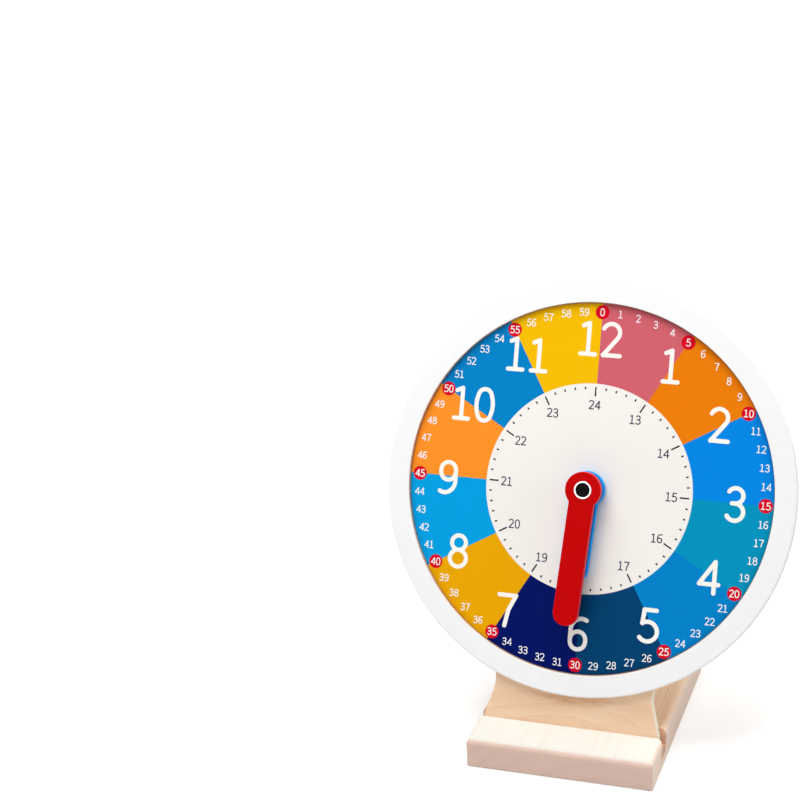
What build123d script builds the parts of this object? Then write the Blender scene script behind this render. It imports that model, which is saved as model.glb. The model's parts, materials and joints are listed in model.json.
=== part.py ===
"""Geared teaching clock: a round dial on a slotted wooden foot, with its motion work open at the back.

Millimetres, +Z up, +X to the right of someone facing the dial, origin at the centre of the
base's underside. The head leans back, so everything on it is drawn in the dial's own frame:
x to the right, y up the dial, z out of the dial, with z = 0 on the printed face.
"""

import os
from math import acos, cos, hypot, pi, radians, sin, tan

from build123d import *

# ---- stand ----
base_width = 101.5
base_depth = 130.0
base_height = 17.0
base_corner_round = 1.5
base_edge_round = 3.5  # round the top
base_foot_round = 1.0  # round the underside
lip_depth = 26.0  # base front to board front, at the base's top
slot_depth = 4.5  # down the slope of the board
slot_clearance = 0.2  # each side of the board
slot_rim_round = 0.6  # in front of the board
slot_back_round = 3.0  # behind it
lean = 22.0  # degrees back from upright

# ---- head ----
board_thickness = 6.0
board_edge_round = 0.8
foot_height = 16.2  # base top to the ring's edge, up the board
foot_width = 96.0  # in the slot and at the base's top
foot_flare = 15.5  # degrees that each side of the foot spreads by
neck_round = 20.0
foot_corner_round = 2.0
ring_opening_radius = 99.6
ring_width = 11.9
ring_overhang = 7.0  # past the board's edge
ring_thickness = 3.6
ring_edge_round = 1.0
ring_opening_round = 0.3
dial_thickness = 1.4
dial_fit = 0.5  # gap round the dial inside the ring

# ---- hands ----
hands_angle = 183.8  # degrees clockwise from twelve, both hands
hand_thickness = 3.8
hand_width = 13.5
hand_hub_radius = 9.7
hand_corner_round = 1.0
hand_edge_round = 0.5
minute_hand_length = 72.9
hour_hand_length = 50.3
hour_hand_lift = 0.8  # dial to the hour hand's back
hand_gap = 4.1  # hour hand's front to minute hand's back
spacer_radius = 5.5
ferrule_radius = 4.75
ferrule_bore_radius = 3.8
ferrule_proud = 0.4
ferrule_lip_round = 0.25
cap_sink = 0.9  # ferrule's front to the cap's face
cap_thickness = 1.4
cap_edge_round = 0.4

# ---- arbors and bushes ----
arbor_radius = 3.0
arbor_tail_radius = 2.5
arbor_end_chamfer = 0.4
running_clearance = 0.05  # radial, shaft in its bore
end_clearance = 0.3  # along the axis, between pieces that turn at different speeds
hour_tube_wall = 1.5
hour_tube_proud = 0.6
bush_wall = 2.4
bush_flange_radius = 8.2
bush_flange_thickness = 0.5
bush_proud = 0.5  # past its nut
nut_across_flats = 19.0
nut_thickness = 3.0
nut_chamfer = 1.2
rear_bush_wall = 1.6
rear_bush_flange_radius = 6.5
rear_bush_flange_thickness = 1.0

# ---- motion work, twelve to one ----
gear_module = 1.0
pressure_angle = 25.0
addendum = 0.8
dedendum = 1.0
tooth_thinning = 0.1  # off each tooth at the pitch circle
cannon_teeth = 15
intermediate_teeth = 45
pinion_teeth = 12
hour_teeth = 48
wheel_thickness = 3.0
pinion_overlap = 0.2  # how far a pinion stands past its wheel, each side
wheel_gap = 1.3  # between the two wheels' planes
wheel_hub_radius = 8.0
wheel_hub_length = 0.6
wheel_holes = 6
wheel_hole_radius = 4.0
wheel_hole_place = 0.62  # share of the pitch radius
cannon_hub_radius = 5.4
cannon_hub_length = 1.4
post_radius = 2.0
post_flange_radius = 4.6
post_spigot_radius = 3.0
post_spigot_length = 4.0
post_proud = 0.9  # past the clip
clip_radius = 4.2
clip_thickness = 0.6
clip_groove_depth = 0.5
clip_mouth = 2.6

# ---- movement plate ----
plate_thickness = 2.5
plate_width = 66.0
plate_above_axis = 30.0
plate_below_axis = 58.0
plate_corner_radius = 9.0
plate_edge_chamfer = 0.4
plate_gap = 2.6  # intermediate wheel to plate
pillar_inset = 7.5  # pillar centre from the plate's sides
pillar_radius = 4.0
pillar_spigot_radius = 2.0
pillar_spigot_length = 4.0
screw_radius = 1.5
screw_hole_clearance = 0.2
screw_head_radius = 2.9
screw_head_height = 1.9
screw_length = 8.0
screw_slot_width = 0.8
screw_slot_depth = 0.8

# ---- setting knob ----
knob_radius = 15.0
knob_length = 13.0
knob_flutes = 12
flute_radius = 2.4
flute_bite = 1.1
knob_edge_round = 1.2
knob_boss_radius = 8.0
knob_boss_length = 1.2
knob_recess_radius = 5.0
knob_recess_depth = 2.6
washer_radius = 6.0
washer_thickness = 0.9

# ---- head sizes that follow from its ring ----
ring_outer_radius = ring_opening_radius + ring_width
board_radius = ring_outer_radius - ring_overhang
foot_to_axis = ring_outer_radius + foot_height  # base top to the hands' axis, up the board

# ---- the dial's frame ----
lean_angle = radians(lean)
up_dial = Vector(0, sin(lean_angle), cos(lean_angle))
out_of_dial = Vector(0, -cos(lean_angle), sin(lean_angle))
lip_edge = Vector(0, -base_depth / 2 + lip_depth, base_height)
dial_centre = lip_edge + up_dial * foot_to_axis + out_of_dial * dial_thickness
dial_plane = Plane(origin=dial_centre, x_dir=(1, 0, 0), z_dir=out_of_dial)
dial_axis = Axis(dial_centre, out_of_dial)

# ---- places along the dial's axis ----
board_front = -dial_thickness
board_back = board_front - board_thickness
ring_front = board_front + ring_thickness
hour_hand_back = hour_hand_lift
hour_hand_front = hour_hand_back + hand_thickness
minute_hand_back = hour_hand_front + hand_gap
minute_hand_front = minute_hand_back + hand_thickness
ferrule_front = minute_hand_front + ferrule_proud
cap_front = ferrule_front - cap_sink
arbor_front = cap_front - cap_thickness
hour_tube_front = hour_hand_front + hour_tube_proud
spacer_back = hour_tube_front + end_clearance
nut_back = board_back - nut_thickness
bush_back = nut_back - bush_proud
hour_hub_front = bush_back - end_clearance
hour_wheel_front = hour_hub_front - wheel_hub_length
hour_wheel_back = hour_wheel_front - wheel_thickness
pinion_front = hour_wheel_front + pinion_overlap
intermediate_front = hour_wheel_back - wheel_gap
intermediate_back = intermediate_front - wheel_thickness
cannon_front = intermediate_front + pinion_overlap
cannon_back = intermediate_back - pinion_overlap
post_flange_back = pinion_front + end_clearance
clip_front = intermediate_back - end_clearance
clip_back = clip_front - clip_thickness
post_back = clip_back - post_proud
plate_front = intermediate_back - plate_gap
plate_back = plate_front - plate_thickness
arbor_shoulder = plate_front + end_clearance
rear_flange_back = plate_back - rear_bush_flange_thickness
washer_front = rear_flange_back - end_clearance
knob_front = washer_front - washer_thickness
knob_back = knob_front - knob_length
arbor_back = knob_back + knob_recess_depth

# ---- radii and centres that follow from the sizes above ----
hour_tube_bore = arbor_radius + running_clearance
hour_tube_radius = hour_tube_bore + hour_tube_wall
bush_bore = hour_tube_radius + running_clearance
bush_radius = bush_bore + bush_wall
rear_bush_bore = arbor_tail_radius + running_clearance
rear_bush_radius = rear_bush_bore + rear_bush_wall
foot_bottom = -foot_to_axis - slot_depth
clip_bore = post_radius - clip_groove_depth
gear_distance = gear_module * (cannon_teeth + intermediate_teeth) / 2
post_centre = (0, -gear_distance)
pillar_x = plate_width / 2 - pillar_inset
pillar_centres = [
    (side * pillar_x, y)
    for side in (-1, 1)
    for y in (plate_above_axis - pillar_inset, pillar_inset - plate_below_axis)
]

same_place = 0.01  # how near two edges or corners count as one, in millimetres


def at(z):
    """The dial's plane, moved out along its axis."""
    return dial_plane.offset(z)


def cylinder(radius, back, front, centre=(0, 0), mode=Mode.ADD):
    """Adds or cuts a cylinder square to the dial, between two places along its axis."""
    with BuildSketch(at(back)) as circle:
        with Locations(centre):
            Circle(radius)
    extrude(circle.sketch, amount=front - back, mode=mode)


def label(part, name):
    """Names a finished piece and writes it."""
    part.label = name
    export_step(part, f"parts/{name}.step")


def circles_at(builder, z, radius):
    """The circular edges of one radius in one plane square to the dial."""
    place = at(z)
    rings = builder.edges().filter_by(GeomType.CIRCLE)
    rings = rings.filter_by(lambda e: abs(e.radius - radius) < same_place)
    return rings.filter_by(lambda e: abs(place.to_local_coords(e.center()).Z) < same_place)


# ---- gear teeth ----
def involute(angle):
    """The involute function of an angle in radians."""
    return tan(angle) - angle


def tooth_half_angle(teeth, radius):
    """Half the angle that one tooth covers at a radius; below the base circle its sides are radial."""
    pitch_radius = gear_module * teeth / 2
    pressure = radians(pressure_angle)
    base_radius = pitch_radius * cos(pressure)
    at_pitch = (pi / 2 - tooth_thinning / gear_module) / teeth
    here = acos(min(1.0, base_radius / radius))
    return at_pitch + involute(pressure) - involute(here)


def tooth(teeth):
    """One tooth along +X, from inside the root circle to its tip, with an arc for each involute flank."""
    pitch_radius = gear_module * teeth / 2
    root = pitch_radius - dedendum * gear_module
    tip = pitch_radius + addendum * gear_module
    flank_start = max(root, pitch_radius * cos(radians(pressure_angle)))
    inside = root * cos(pi / teeth)

    def point(radius, side):
        turn = side * tooth_half_angle(teeth, max(radius, flank_start))
        return (radius * cos(turn), radius * sin(turn))

    middle = (flank_start + tip) / 2
    with BuildSketch() as outline:
        with BuildLine():
            Line(point(inside, -1), point(flank_start, -1))
            ThreePointArc(point(flank_start, -1), point(middle, -1), point(tip, -1))
            ThreePointArc(point(tip, -1), (tip, 0), point(tip, 1))
            ThreePointArc(point(tip, 1), point(middle, 1), point(flank_start, 1))
            Line(point(flank_start, 1), point(inside, 1))
            Line(point(inside, 1), point(inside, -1))
        make_face()
    return outline.sketch


def toothed(teeth, back, front, centre, first_tooth):
    """Adds a toothed disc, with one tooth centred on the angle first_tooth in degrees."""
    one_tooth = tooth(teeth)
    with BuildSketch(at(back)) as outline:
        with Locations(centre):
            Circle(gear_module * (teeth / 2 - dedendum))
            with PolarLocations(0, teeth, start_angle=first_tooth):
                add(one_tooth)
    extrude(outline.sketch, amount=front - back)


def lightening_holes(teeth, back, front, centre=(0, 0)):
    """Cuts the ring of holes that lightens a wheel."""
    with BuildSketch(at(back)) as ring_of_holes:
        with Locations(centre):
            with PolarLocations(wheel_hole_place * gear_module * teeth / 2, wheel_holes):
                Circle(wheel_hole_radius)
    extrude(ring_of_holes.sketch, amount=front - back, mode=Mode.SUBTRACT)


# ---- hands ----
def hand(length, back):
    """Adds a hand: a round hub and a straight bar with a round tip, turned to hands_angle."""
    tip_radius = hand_width / 2
    turn = -radians(hands_angle)
    across = Vector(1, 0, 0) * cos(turn) + up_dial * sin(turn)
    with BuildSketch(Plane(at(back).origin, across, out_of_dial)) as outline:
        Circle(hand_hub_radius)
        Rectangle(hand_width, length - tip_radius, align=(Align.CENTER, Align.MIN))
        with Locations((0, length - tip_radius)):
            Circle(tip_radius)
        inner_corners = outline.vertices().filter_by(
            lambda v: v.Y > tip_radius / 2 and abs(hypot(v.X, v.Y) - hand_hub_radius) < same_place
        )
        fillet(inner_corners, hand_corner_round)
    extrude(outline.sketch, amount=hand_thickness)


# ---- screws ----
def slotted_screw(seat, length, centre=(0, 0)):
    """Adds a round-headed screw with its head against the place seat and its shank forward of it."""
    head_back = seat - screw_head_height
    cylinder(screw_radius, seat, seat + length, centre)
    cylinder(screw_head_radius, head_back, seat, centre)
    with BuildSketch(at(head_back)) as driver_slot:
        with Locations(centre):
            Rectangle(3 * screw_head_radius, screw_slot_width)
    extrude(driver_slot.sketch, amount=screw_slot_depth, mode=Mode.SUBTRACT)


os.makedirs("parts", exist_ok=True)

# ---- stand: one block with a slanted slot right across it ----
with BuildPart() as base_block:
    with BuildSketch():
        RectangleRounded(base_width, base_depth, base_corner_round)
    extrude(amount=base_height)
    for plane, breadth in ((Plane.XZ, base_width), (Plane.YZ, base_depth)):
        with BuildSketch(plane) as section:
            Rectangle(breadth, base_height, align=(Align.CENTER, Align.MIN))
            fillet(section.vertices().group_by(Axis.Y)[-1], base_edge_round)
            fillet(section.vertices().group_by(Axis.Y)[0], base_foot_round)
        extrude(amount=base_width + base_depth, both=True, mode=Mode.INTERSECT)
    with BuildSketch(at(board_back - slot_clearance)):
        with Locations((0, foot_bottom)):
            Rectangle(
                2 * base_width,
                slot_depth + base_height,
                align=(Align.CENTER, Align.MIN),
            )
    extrude(amount=board_thickness + 2 * slot_clearance, mode=Mode.SUBTRACT)
    slot_middle_y = lip_edge.Y + board_thickness / 2 / cos(lean_angle)
    for place, rim_round in ((0, slot_rim_round), (-1, slot_back_round)):
        rims = base_block.edges().filter_by(Axis.X).filter_by(
            lambda e: e.center().Z > base_height - same_place
            and abs(e.center().Y - slot_middle_y) < board_thickness
        )
        fillet(rims.sort_by(Axis.Y)[place], rim_round)
label(base_block.part, "base_block")

# ---- head: plywood board, a disc that runs down into a flared foot ----
with BuildPart() as back_board:
    half_foot = foot_width / 2
    flare_top = -board_radius / 2
    half_top = half_foot - (flare_top + foot_to_axis) * tan(radians(foot_flare))
    with BuildSketch(at(board_back)) as board_outline:
        with BuildLine():
            Polyline(
                (-half_foot, foot_bottom),
                (half_foot, foot_bottom),
                (half_foot, -foot_to_axis),
                (half_top, flare_top),
                (-half_top, flare_top),
                (-half_foot, -foot_to_axis),
                close=True,
            )
        make_face()
        Circle(board_radius)
        neck_corners = board_outline.vertices().filter_by(
            lambda v: v.Y < 0 and abs(hypot(v.X, v.Y) - board_radius) < same_place
        )
        fillet(neck_corners, neck_round)
        foot_corners = board_outline.vertices().group_by(Axis.Y)[0]
        fillet(foot_corners, foot_corner_round)
    extrude(amount=board_thickness)
    faces_out = back_board.faces().sort_by(dial_axis)
    fillet(faces_out[0].edges() + faces_out[-1].edges(), board_edge_round)
    cylinder(bush_radius, board_back, board_front, mode=Mode.SUBTRACT)
    cylinder(
        post_spigot_radius,
        board_back,
        board_back + post_spigot_length,
        post_centre,
        Mode.SUBTRACT,
    )
    for centre in pillar_centres:
        cylinder(
            pillar_spigot_radius,
            board_back,
            board_back + pillar_spigot_length,
            centre,
            Mode.SUBTRACT,
        )
label(back_board.part, "back_board")

# ---- head: white ring and printed dial, side by side on the board ----
with BuildPart() as bezel_ring:
    cylinder(ring_outer_radius, board_front, ring_front)
    cylinder(ring_opening_radius, board_front, ring_front, mode=Mode.SUBTRACT)
    fillet(circles_at(bezel_ring, ring_front, ring_outer_radius), ring_edge_round)
    fillet(circles_at(bezel_ring, ring_front, ring_opening_radius), ring_opening_round)
label(bezel_ring.part, "bezel_ring")

with BuildPart() as dial_panel:
    cylinder(ring_opening_radius - dial_fit, board_front, 0)
    cylinder(bush_radius, board_front, 0, mode=Mode.SUBTRACT)
label(dial_panel.part, "dial_panel")

# ---- head: flanged bush that carries the hour tube, and its nut ----
with BuildPart() as dial_bush:
    cylinder(bush_radius, bush_back, 0)
    cylinder(bush_flange_radius, 0, bush_flange_thickness)
    chamfer(circles_at(dial_bush, bush_back, bush_radius), arbor_end_chamfer)
    cylinder(bush_bore, bush_back, bush_flange_thickness, mode=Mode.SUBTRACT)
label(dial_bush.part, "dial_bush")

with BuildPart() as bush_nut:
    with BuildSketch(at(nut_back)):
        RegularPolygon(nut_across_flats / 2, 6, major_radius=False)
    extrude(amount=nut_thickness)
    chamfer(bush_nut.faces().sort_by(dial_axis)[0].edges(), nut_chamfer)
    cylinder(bush_radius, nut_back, board_back, mode=Mode.SUBTRACT)
label(bush_nut.part, "bush_nut")

# ---- head: post, clip, pillars, plate and rear bush of the open movement ----
with BuildPart() as idler_post:
    cylinder(post_spigot_radius, board_back, board_back + post_spigot_length, post_centre)
    cylinder(post_flange_radius, post_flange_back, board_back, post_centre)
    cylinder(post_radius, clip_front, post_flange_back, post_centre)
    cylinder(clip_bore, clip_back, clip_front, post_centre)
    cylinder(post_radius, post_back, clip_back, post_centre)
    chamfer(circles_at(idler_post, post_back, post_radius), arbor_end_chamfer)
label(idler_post.part, "idler_post")

with BuildPart() as idler_clip:
    cylinder(clip_radius, clip_back, clip_front, post_centre)
    cylinder(clip_bore, clip_back, clip_front, post_centre, Mode.SUBTRACT)
    with BuildSketch(at(clip_back)):
        with Locations(post_centre):
            Rectangle(clip_mouth, 2 * clip_radius, align=(Align.CENTER, Align.MAX))
    extrude(amount=clip_thickness, mode=Mode.SUBTRACT)
label(idler_clip.part, "idler_clip")

with BuildPart() as movement_pillars:
    for centre in pillar_centres:
        cylinder(pillar_radius, plate_front, board_back, centre)
        cylinder(
            pillar_spigot_radius,
            board_back,
            board_back + pillar_spigot_length,
            centre,
        )
        cylinder(
            screw_radius,
            plate_front,
            plate_back + screw_length,
            centre,
            Mode.SUBTRACT,
        )
label(movement_pillars.part, "movement_pillars")

with BuildPart() as rear_plate:
    with BuildSketch(at(plate_back)) as plate_outline:
        with Locations((0, (plate_above_axis - plate_below_axis) / 2)):
            RectangleRounded(
                plate_width,
                plate_above_axis + plate_below_axis,
                plate_corner_radius,
            )
    extrude(amount=plate_thickness)
    plate_faces = rear_plate.faces().sort_by(dial_axis)
    chamfer(plate_faces[0].edges() + plate_faces[-1].edges(), plate_edge_chamfer)
    cylinder(rear_bush_radius, plate_back, plate_front, mode=Mode.SUBTRACT)
    for centre in pillar_centres:
        cylinder(
            screw_radius + screw_hole_clearance,
            plate_back,
            plate_front,
            centre,
            Mode.SUBTRACT,
        )
label(rear_plate.part, "rear_plate")

with BuildPart() as plate_screws:
    for centre in pillar_centres:
        slotted_screw(plate_back, screw_length, centre)
label(plate_screws.part, "plate_screws")

with BuildPart() as rear_bush:
    cylinder(rear_bush_radius, plate_back, plate_front)
    cylinder(rear_bush_flange_radius, rear_flange_back, plate_back)
    cylinder(rear_bush_bore, rear_flange_back, plate_front, mode=Mode.SUBTRACT)
label(rear_bush.part, "rear_bush")

# ---- minute hand and all that turns with it ----
with BuildPart() as minute_hand:
    hand(minute_hand_length, minute_hand_back)
    fillet(minute_hand.faces().sort_by(dial_axis)[-1].edges(), hand_edge_round)
    cylinder(ferrule_radius, minute_hand_back, minute_hand_front, mode=Mode.SUBTRACT)
label(minute_hand.part, "minute_hand")

with BuildPart() as hub_ferrule:
    cylinder(ferrule_radius, minute_hand_back, ferrule_front)
    cylinder(ferrule_bore_radius, arbor_front, ferrule_front, mode=Mode.SUBTRACT)
    cylinder(arbor_radius, minute_hand_back, arbor_front, mode=Mode.SUBTRACT)
    lips = circles_at(hub_ferrule, ferrule_front, ferrule_radius)
    lips += circles_at(hub_ferrule, ferrule_front, ferrule_bore_radius)
    fillet(lips, ferrule_lip_round)
label(hub_ferrule.part, "hub_ferrule")

with BuildPart() as hub_cap:
    cylinder(ferrule_bore_radius, arbor_front, cap_front)
    fillet(circles_at(hub_cap, cap_front, ferrule_bore_radius), cap_edge_round)
label(hub_cap.part, "hub_cap")

with BuildPart() as center_arbor:
    cylinder(arbor_radius, arbor_shoulder, arbor_front)
    cylinder(arbor_tail_radius, arbor_back, arbor_shoulder)
    cylinder(
        screw_radius,
        arbor_back,
        arbor_back + screw_length,
        mode=Mode.SUBTRACT,
    )
label(center_arbor.part, "center_arbor")

with BuildPart() as hand_spacer:
    cylinder(spacer_radius, spacer_back, minute_hand_back)
    cylinder(arbor_radius, spacer_back, minute_hand_back, mode=Mode.SUBTRACT)
label(hand_spacer.part, "hand_spacer")

with BuildPart() as cannon_pinion:
    toothed(cannon_teeth, cannon_back, cannon_front, (0, 0), -90)
    cylinder(cannon_hub_radius, cannon_back - cannon_hub_length, cannon_back)
    cylinder(
        arbor_radius,
        cannon_back - cannon_hub_length,
        cannon_front,
        mode=Mode.SUBTRACT,
    )
label(cannon_pinion.part, "cannon_pinion")

with BuildPart() as friction_washer:
    cylinder(washer_radius, knob_front, washer_front)
    cylinder(arbor_tail_radius, knob_front, washer_front, mode=Mode.SUBTRACT)
label(friction_washer.part, "friction_washer")

with BuildPart() as setting_knob:
    grip_front = knob_front - knob_boss_length
    cylinder(knob_radius, knob_back, grip_front)
    fillet(circles_at(setting_knob, knob_back, knob_radius), knob_edge_round)
    fillet(circles_at(setting_knob, grip_front, knob_radius), knob_edge_round)
    with BuildSketch(at(knob_back)):
        with PolarLocations(knob_radius + flute_radius - flute_bite, knob_flutes):
            Circle(flute_radius)
    extrude(amount=knob_length, mode=Mode.SUBTRACT)
    cylinder(knob_boss_radius, grip_front, knob_front)
    cylinder(arbor_tail_radius, arbor_back, knob_front, mode=Mode.SUBTRACT)
    cylinder(knob_recess_radius, knob_back, arbor_back, mode=Mode.SUBTRACT)
label(setting_knob.part, "setting_knob")

with BuildPart() as knob_screw:
    slotted_screw(arbor_back, screw_length)
label(knob_screw.part, "knob_screw")

# ---- hour hand, its tube and its wheel ----
with BuildPart() as hour_hand:
    hand(hour_hand_length, hour_hand_back)
    fillet(hour_hand.faces().sort_by(dial_axis)[-1].edges(), hand_edge_round)
    cylinder(hour_tube_radius, hour_hand_back, hour_hand_front, mode=Mode.SUBTRACT)
label(hour_hand.part, "hour_hand")

with BuildPart() as hour_tube:
    cylinder(hour_tube_radius, hour_wheel_back, hour_tube_front)
    cylinder(hour_tube_bore, hour_wheel_back, hour_tube_front, mode=Mode.SUBTRACT)
label(hour_tube.part, "hour_tube")

half_tooth = 180 / hour_teeth
with BuildPart() as hour_wheel:
    toothed(hour_teeth, hour_wheel_back, hour_wheel_front, (0, 0), -90 + half_tooth)
    cylinder(wheel_hub_radius, hour_wheel_front, hour_hub_front)
    lightening_holes(hour_teeth, hour_wheel_back, hour_wheel_front)
    cylinder(hour_tube_radius, hour_wheel_back, hour_hub_front, mode=Mode.SUBTRACT)
label(hour_wheel.part, "hour_wheel")

# ---- compound gear on the post: wheel driven by the cannon pinion, pinion driving the hour wheel ----
half_tooth = 180 / intermediate_teeth
with BuildPart() as compound_gear:
    toothed(
        intermediate_teeth,
        intermediate_back,
        intermediate_front,
        post_centre,
        90 + half_tooth,
    )
    toothed(pinion_teeth, intermediate_front, pinion_front, post_centre, 90)
    lightening_holes(intermediate_teeth, intermediate_back, intermediate_front, post_centre)
    cylinder(
        post_radius + running_clearance,
        intermediate_back,
        pinion_front,
        post_centre,
        Mode.SUBTRACT,
    )
label(compound_gear.part, "compound_gear")
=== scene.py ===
"""Finishes, printed dial, light and camera for a geared teaching clock.

Everything is in metres in the clock's own frame: +Z up, the dial towards -Y, +X to the reader's
right. The dial leans back, so what is printed on it is drawn flat in millimetres, with x to the
right and y up from the hands' axis, and then laid on the dial's face.
"""

import json
from math import atan2, cos, pi, radians, sin

import bmesh
import bpy
from bpy.props import FloatProperty, FloatVectorProperty, PointerProperty
from bpy.types import Operator, Panel, PropertyGroup
from mathutils import Matrix, Vector


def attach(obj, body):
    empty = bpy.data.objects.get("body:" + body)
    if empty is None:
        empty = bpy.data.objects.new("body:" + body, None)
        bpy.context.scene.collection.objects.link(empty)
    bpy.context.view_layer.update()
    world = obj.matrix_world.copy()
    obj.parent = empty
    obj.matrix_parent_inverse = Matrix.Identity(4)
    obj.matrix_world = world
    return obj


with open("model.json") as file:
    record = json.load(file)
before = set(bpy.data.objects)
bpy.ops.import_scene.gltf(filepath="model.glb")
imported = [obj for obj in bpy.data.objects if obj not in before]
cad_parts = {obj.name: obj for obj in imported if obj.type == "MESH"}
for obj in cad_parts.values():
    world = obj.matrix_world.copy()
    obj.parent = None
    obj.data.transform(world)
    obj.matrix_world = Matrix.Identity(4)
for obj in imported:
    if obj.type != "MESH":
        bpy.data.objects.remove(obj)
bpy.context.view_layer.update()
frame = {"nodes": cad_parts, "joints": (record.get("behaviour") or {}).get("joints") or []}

bl_info = {
    "name": "Teaching clock",
    "version": (1, 0, 0),
    "blender": (4, 5, 0),
    "location": "3D View > Sidebar > Teaching clock",
    "description": "Dresses a geared teaching clock: dial print, wood, lacquer, metal and moulded gears",
    "category": "Object",
}

MM = 0.001

# ---- where the dial lies ----
JOINTS = {joint["name"]: joint for joint in frame["joints"]}
DIAL_CENTRE = Vector(JOINTS["minute_turn"]["pos_m"])
OUT_OF_DIAL = Vector(JOINTS["minute_turn"]["axis"])
UP_DIAL = Vector(JOINTS["head_lift"]["axis"])
ACROSS_DIAL = UP_DIAL.cross(OUT_OF_DIAL)
DIAL_TURN = atan2(OUT_OF_DIAL.z, UP_DIAL.z) - pi / 2
DIAL_PLACE = Matrix.Translation(DIAL_CENTRE) @ Matrix(
    (ACROSS_DIAL, UP_DIAL, OUT_OF_DIAL)
).transposed().to_4x4() @ Matrix.Scale(MM, 4)

# ---- where one finish or painted shade gives way to another, in millimetres ----
BOARD_MEETS_BASE = -39.0  # y, at the base's top
SLOT_MIDDLE = -5.6  # out of the dial
SLOT_REACH = 4.55  # each side of its middle
SLOT_FLOOR = 6.0  # z
BOARD_FRONT = -1.4  # out of the dial
PLY_PAIR = 2.4  # a dark and a pale ply together
BOARD_SHADE_X, BOARD_SHADE_Y = 2.0, -112.0  # a darker patch on the board just under the ring: painted shade where the ring's shadow falls, over darker grain
BOARD_SHADE_REACH, BOARD_SHADE_HEIGHT = 26.0, 7.0  # half its length and height
RING_OPENING = 99.6  # radius
RING_SHADE_START = 94.6  # radius from which painted shade darkens the sectors towards the ring, for the ring's shadow
RING_SHADE_DEPTH = 0.3  # share of their brightness that the painted shade takes away at the ring

# ---- how the woods grow, in millimetres ----
PITH_X, PITH_Z = 30.0, -70.0  # the middle of the stand's year rings, below it
YEAR_RING = 8.5
ARCH_TOP = 40.0  # y of one arch of the veneer's figure, at its middle
ARCH_BEND = 0.004  # how fast the arches fall to the sides
ARCH_STEP = 9.0

# ---- how the dial is printed, in millimetres ----
HOURS = range(1, 13)
PRINT_ASIDE = 0.4  # how far the sectors and minutes lie to the right of the hands' axis
STROKE_LIFT = 0.004  # each stroke over the last, so that crossings don't share a plane
MERGE_DISTANCE = 0.0008
DISC_SIDES = 48
HOUR_ARC, INNER_ARC, MINUTE_ARC = 12, 20, 24  # degrees of an arc that one straight side covers
# how far each hour number lies off its place on the circle, to the right and up
HOUR_NUDGES = {
    1: (0.0, 0.3), 2: (-0.7, 0.4), 3: (0.2, -0.6), 4: (0.0, -0.5), 5: (-1.2, -0.5), 6: (0.75, 1.2),
    7: (0.0, -1.1), 8: (-0.7, -0.9), 9: (0.9, -0.9), 10: (1.4, 0.5), 11: (0.7, 0.5), 12: (0.4, 1.1),
}
SECTORS = (
    "twelve_to_one", "one_to_two", "two_to_three", "three_to_four", "four_to_five", "five_to_six",
    "six_to_seven", "seven_to_eight", "eight_to_nine", "nine_to_ten", "ten_to_eleven", "eleven_to_twelve",
)

# ---- stage, in metres ----
LAMP_AIM = (0.0, 0.0, 0.1)
LAMPS = {  # the side of each square lamp and where it hangs
    "top": (1.05, (-0.19, -0.1, 1.35)),
    "front": (0.9, (-0.4, -1.15, 0.75)),
    "side": (0.6, (1.1, -0.15, 0.45)),
    "rear": (0.8, (0.6, 0.9, 0.85)),
}
FLOOR_RADIUS, FLOOR_SIDES = 9.0, 96
GLOW_NEAR, GLOW_FAR = 400.0, 1600.0  # millimetres from the clock between which the floor fades to white
FLOOR_GLOW = 0.45  # what the floor sends to the camera next to the clock
SENSOR_WIDTH = 36.0  # millimetres


def colour(name, description, red, green, blue):
    """A colour property whose default is written in screen values from 0 to 255."""
    def linear(value):
        share = value / 255
        return share / 12.92 if share <= 0.04045 else ((share + 0.055) / 1.055) ** 2.4

    return FloatVectorProperty(
        name=name,
        description=description,
        subtype="COLOR",
        size=3,
        min=0.0,
        max=1.0,
        default=(linear(red), linear(green), linear(blue)),
    )


def length(name, description, millimetres):
    """A length property with its default in millimetres."""
    return FloatProperty(
        name=name, description=description, subtype="DISTANCE", unit="LENGTH", min=0.0, precision=5,
        default=millimetres * MM,
    )


def power(name, description, watts):
    """A lamp's power."""
    return FloatProperty(name=name, description=description, unit="POWER", min=0.0, default=watts)


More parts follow.
